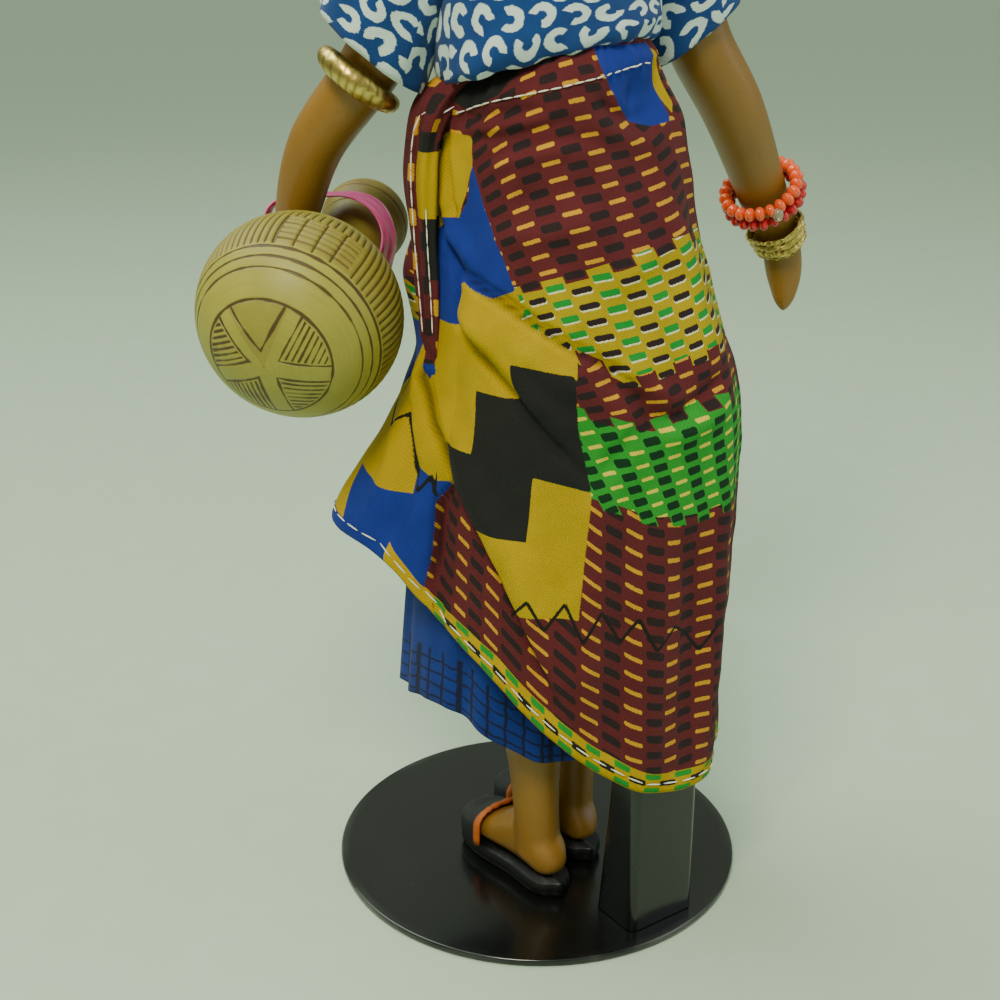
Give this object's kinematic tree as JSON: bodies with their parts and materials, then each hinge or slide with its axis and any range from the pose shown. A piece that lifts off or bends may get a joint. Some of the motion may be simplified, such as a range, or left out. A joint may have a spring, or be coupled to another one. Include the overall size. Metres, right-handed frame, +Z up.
{
  "type": "porcelain doll",
  "caption": "Standing dressed doll with porcelain head, arms and legs, a carved gourd in one hand, on a round black stand with a post behind the legs.",
  "frame": {"origin": "centre of the round stand's underside", "axes": "+Z up, from the stand to the head; the doll faces -Y; its left hand is at +X"},
  "size_m": [0.1954, 0.1276, 0.4173],
  "materials": {
    "stand": "polished black",
    "skin": "painted bisque porcelain, brown, satin",
    "shoe": "black, satin",
    "strap": "orange, matt",
    "underskirt": "blue woven cotton with dark lines",
    "wrapper": "printed cotton in maroon, yellow, blue, green and black",
    "blouse": "blue printed cotton with off-white curls",
    "gourd": "tan with brown incised lines, satin",
    "ribbon": "pink satin",
    "gilt": "gilt, worn",
    "orange_beads": "opaque orange glass, gloss",
    "red_beads": "red glass, gloss"
  },
  "bodies": {
    "root": {"stand_base": "stand", "stand_post": "stand", "left_leg": "skin", "right_leg": "skin", "left_shoe_sole": "shoe", "right_shoe_sole": "shoe", "left_shoe_strap": "strap", "right_shoe_strap": "strap", "underskirt": "underskirt", "wrapper": "wrapper", "blouse": "blouse", "left_arm": "skin", "right_arm": "skin", "head": "skin", "head_tie": "wrapper", "gourd": "gourd", "ribbon": "ribbon", "left_bangle": "gilt", "orange_beads": "orange_beads", "red_beads": "red_beads", "right_gold_cuff": "gilt"}
  },
  "joints": []
}
